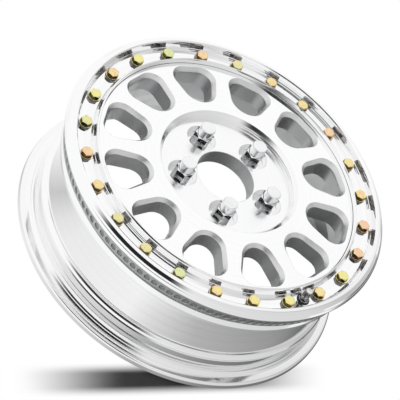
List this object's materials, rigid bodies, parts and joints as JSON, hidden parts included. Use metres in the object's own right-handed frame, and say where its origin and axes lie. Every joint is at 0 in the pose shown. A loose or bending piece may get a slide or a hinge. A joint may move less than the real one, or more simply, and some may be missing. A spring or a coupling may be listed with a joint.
{
  "type": "beadlock_wheel",
  "caption": "Machined aluminium off-road wheel with rounded windows in its disc and a bolted ring that clamps the outer tyre bead, with its lug nuts and tyre valve in place.",
  "frame": {"origin": "on the wheel's axis, in the rear plane of the inner rim flange, which the wheel lies on face up", "axes": "+Z along the wheel's axis out of the face, +X through the tyre valve"},
  "size_m": [0.4134, 0.4132, 0.1599],
  "materials": {
    "machined_aluminium": "machined, bright",
    "polished_aluminium": "polished",
    "yellow_zinc_steel": "yellow zinc plating",
    "chrome_steel": "chrome plated",
    "nickel_brass": "nickel plated",
    "plain_brass": "plain turned",
    "black_rubber": "matte"
  },
  "bodies": {
    "wheel_body": {"wheel": "machined_aluminium", "beadlock_ring": "polished_aluminium", "ring_bolts": "yellow_zinc_steel", "ring_washers": "yellow_zinc_steel", "lug_nuts": "chrome_steel", "valve_stem": "nickel_brass", "valve_seal": "black_rubber", "valve_grommet": "black_rubber", "valve_washer": "chrome_steel", "valve_nut": "chrome_steel", "valve_core": "plain_brass"},
    "cap_body": {"valve_cap": "nickel_brass", "cap_seal": "black_rubber"},
    "pin_body": {"valve_pin": "plain_brass"}
  },
  "joints": [
    {"name": "valve_cap_lift", "type": "slide", "parent": "wheel_body", "child": "cap_body", "axis": [0, 0, 1], "range_m": [0, 0.009]},
    {"name": "valve_pin_press", "type": "slide", "parent": "wheel_body", "child": "pin_body", "axis": [0, 0, -1], "range_m": [0, 0.0012], "stiffness_N_per_m": 1000, "springref_m": -0.001}
  ]
}
